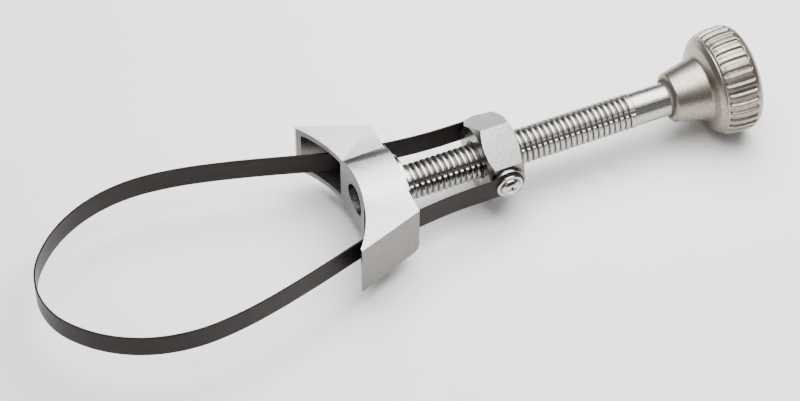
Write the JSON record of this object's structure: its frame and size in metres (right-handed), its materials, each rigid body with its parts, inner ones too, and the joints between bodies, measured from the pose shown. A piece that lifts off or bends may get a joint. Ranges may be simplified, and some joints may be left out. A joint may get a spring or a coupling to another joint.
{
  "type": "oil filter wrench",
  "caption": "Band oil filter wrench: a spring steel band looped from a hexagonal nut through a cast saddle yoke, tightened by a threaded spindle with a fluted knob.",
  "frame": {"origin": "deepest point of the yoke's concave saddle, on the spindle's axis", "axes": "+X along the spindle from the saddle to the knob, +Y across the band loop, +Z along the axis of the filter that the loop holds"},
  "size_m": [0.2499, 0.0668, 0.0364],
  "materials": {
    "yoke_casting": "fine-grained die cast aluminium, matt",
    "knob_casting": "die cast, satin, slightly warm",
    "nut_metal": "die cast, matt to satin",
    "spindle_metal": "bright thread with a faint parting line",
    "band_steel": "dark brown oxidised spring steel, satin",
    "bright_plating": "bright plated steel",
    "spring_clip": "plain spring steel"
  },
  "bodies": {
    "carrier": {"carrier_nut": "nut_metal", "clamp_screw_right": "bright_plating", "clamp_screw_left": "bright_plating", "band_end_right": "band_steel", "band_end_left": "band_steel"},
    "yoke": {"yoke": "yoke_casting"},
    "spindle": {"spindle": "spindle_metal", "knob": "knob_casting", "thrust_washer": "bright_plating", "retaining_washer": "bright_plating", "retaining_ring": "spring_clip"},
    "band_right_01": {"band_right_01": "band_steel"},
    "band_right_02": {"band_right_02": "band_steel"},
    "band_right_03": {"band_right_03": "band_steel"},
    "band_right_04": {"band_right_04": "band_steel"},
    "band_right_05": {"band_right_05": "band_steel"},
    "band_right_06": {"band_right_06": "band_steel"},
    "band_right_07": {"band_right_07": "band_steel"},
    "band_right_08": {"band_right_08": "band_steel"},
    "band_right_09": {"band_right_09": "band_steel"},
    "band_right_10": {"band_right_10": "band_steel"},
    "band_left_01": {"band_left_01": "band_steel"},
    "band_left_02": {"band_left_02": "band_steel"},
    "band_left_03": {"band_left_03": "band_steel"},
    "band_left_04": {"band_left_04": "band_steel"},
    "band_left_05": {"band_left_05": "band_steel"},
    "band_left_06": {"band_left_06": "band_steel"},
    "band_left_07": {"band_left_07": "band_steel"},
    "band_left_08": {"band_left_08": "band_steel"},
    "band_left_09": {"band_left_09": "band_steel"},
    "band_left_10": {"band_left_10": "band_steel"}
  },
  "joints": [
    {"name": "yoke_slide", "type": "slide", "parent": "carrier", "child": "yoke", "axis": [-1, 0, 0], "range_m": [-0.02205, 0.04405]},
    {"name": "knob_turn", "type": "hinge", "parent": "yoke", "child": "spindle", "pos_m": [0.0148, 0, 0], "axis": [-1, 0, 0], "range_deg": [-3960, 7920]},
    {"name": "flex_right_01", "type": "hinge", "parent": "carrier", "child": "band_right_01", "pos_m": [0.0384, 0.0138, 0], "axis": [0, 0, -1], "range_deg": [-4.48, 2.25]},
    {"name": "flex_right_02", "type": "hinge", "parent": "band_right_01", "child": "band_right_02", "pos_m": [0.02174, 0.01475, 0], "axis": [0, 0, -1], "range_deg": [-4.58, 2.3]},
    {"name": "flex_right_03", "type": "hinge", "parent": "band_right_02", "child": "band_right_03", "pos_m": [0.00522, 0.01721, 0], "axis": [0, 0, -1], "range_deg": [-4.62, 2.32]},
    {"name": "flex_right_04", "type": "hinge", "parent": "band_right_03", "child": "band_right_04", "pos_m": [-0.01097, 0.02125, 0], "axis": [0, 0, -1], "range_deg": [-2.4, 1.21]},
    {"name": "flex_right_05", "type": "hinge", "parent": "band_right_04", "child": "band_right_05", "pos_m": [-0.02696, 0.02606, 0], "axis": [0, 0, -1], "range_deg": [-6.05, 12.07]},
    {"name": "flex_right_06", "type": "hinge", "parent": "band_right_05", "child": "band_right_06", "pos_m": [-0.04313, 0.03025, 0], "axis": [0, 0, -1], "range_deg": [-7.34, 14.67]},
    {"name": "flex_right_07", "type": "hinge", "parent": "band_right_06", "child": "band_right_07", "pos_m": [-0.05961, 0.03286, 0], "axis": [0, 0, -1], "range_deg": [-2.2, 4.37]},
    {"name": "flex_right_08", "type": "hinge", "parent": "band_right_07", "child": "band_right_08", "pos_m": [-0.07622, 0.03184, 0], "axis": [0, 0, -1], "range_deg": [-1.38, 0.7]},
    {"name": "flex_right_09", "type": "hinge", "parent": "band_right_08", "child": "band_right_09", "pos_m": [-0.09162, 0.02562, 0], "axis": [0, 0, -1], "range_deg": [-3.32, 1.67]},
    {"name": "flex_right_10", "type": "hinge", "parent": "band_right_09", "child": "band_right_10", "pos_m": [-0.10376, 0.0143, 0], "axis": [0, 0, -1], "range_deg": [-10.41, 5.22]},
    {"name": "flex_left_01", "type": "hinge", "parent": "carrier", "child": "band_left_01", "pos_m": [0.0384, -0.0138, 0], "axis": [0, 0, 1], "range_deg": [-4.48, 2.25]},
    {"name": "flex_left_02", "type": "hinge", "parent": "band_left_01", "child": "band_left_02", "pos_m": [0.02174, -0.01475, 0], "axis": [0, 0, 1], "range_deg": [-4.58, 2.3]},
    {"name": "flex_left_03", "type": "hinge", "parent": "band_left_02", "child": "band_left_03", "pos_m": [0.00522, -0.01721, 0], "axis": [0, 0, 1], "range_deg": [-4.62, 2.32]},
    {"name": "flex_left_04", "type": "hinge", "parent": "band_left_03", "child": "band_left_04", "pos_m": [-0.01097, -0.02125, 0], "axis": [0, 0, 1], "range_deg": [-2.4, 1.21]},
    {"name": "flex_left_05", "type": "hinge", "parent": "band_left_04", "child": "band_left_05", "pos_m": [-0.02696, -0.02606, 0], "axis": [0, 0, 1], "range_deg": [-6.05, 12.07]},
    {"name": "flex_left_06", "type": "hinge", "parent": "band_left_05", "child": "band_left_06", "pos_m": [-0.04313, -0.03025, 0], "axis": [0, 0, 1], "range_deg": [-7.34, 14.67]},
    {"name": "flex_left_07", "type": "hinge", "parent": "band_left_06", "child": "band_left_07", "pos_m": [-0.05961, -0.03286, 0], "axis": [0, 0, 1], "range_deg": [-2.2, 4.37]},
    {"name": "flex_left_08", "type": "hinge", "parent": "band_left_07", "child": "band_left_08", "pos_m": [-0.07622, -0.03184, 0], "axis": [0, 0, 1], "range_deg": [-1.38, 0.7]},
    {"name": "flex_left_09", "type": "hinge", "parent": "band_left_08", "child": "band_left_09", "pos_m": [-0.09162, -0.02562, 0], "axis": [0, 0, 1], "range_deg": [-3.32, 1.67]},
    {"name": "flex_left_10", "type": "hinge", "parent": "band_left_09", "child": "band_left_10", "pos_m": [-0.10376, -0.0143, 0], "axis": [0, 0, 1], "range_deg": [-10.41, 5.22]}
  ],
  "couplings": [
    {"joint": "yoke_slide", "follows": "knob_turn", "m_per_rad": 0.00031831},
    {"joint": "flex_right_01", "follows": "knob_turn", "ratio": -0.0005636},
    {"joint": "flex_right_02", "follows": "knob_turn", "ratio": -0.0005752},
    {"joint": "flex_right_03", "follows": "knob_turn", "ratio": -0.000581},
    {"joint": "flex_right_04", "follows": "knob_turn", "ratio": -0.0003},
    {"joint": "flex_right_05", "follows": "knob_turn", "ratio": 0.0015217},
    {"joint": "flex_right_06", "follows": "knob_turn", "ratio": 0.0018492},
    {"joint": "flex_right_07", "follows": "knob_turn", "ratio": 0.0005498},
    {"joint": "flex_right_08", "follows": "knob_turn", "ratio": -0.0001721},
    {"joint": "flex_right_09", "follows": "knob_turn", "ratio": -0.0004165},
    {"joint": "flex_right_10", "follows": "knob_turn", "ratio": -0.0013123},
    {"joint": "flex_left_01", "follows": "knob_turn", "ratio": -0.0005636},
    {"joint": "flex_left_02", "follows": "knob_turn", "ratio": -0.0005752},
    {"joint": "flex_left_03", "follows": "knob_turn", "ratio": -0.000581},
    {"joint": "flex_left_04", "follows": "knob_turn", "ratio": -0.0003},
    {"joint": "flex_left_05", "follows": "knob_turn", "ratio": 0.0015217},
    {"joint": "flex_left_06", "follows": "knob_turn", "ratio": 0.0018492},
    {"joint": "flex_left_07", "follows": "knob_turn", "ratio": 0.0005498},
    {"joint": "flex_left_08", "follows": "knob_turn", "ratio": -0.0001721},
    {"joint": "flex_left_09", "follows": "knob_turn", "ratio": -0.0004165},
    {"joint": "flex_left_10", "follows": "knob_turn", "ratio": -0.0013123}
  ]
}
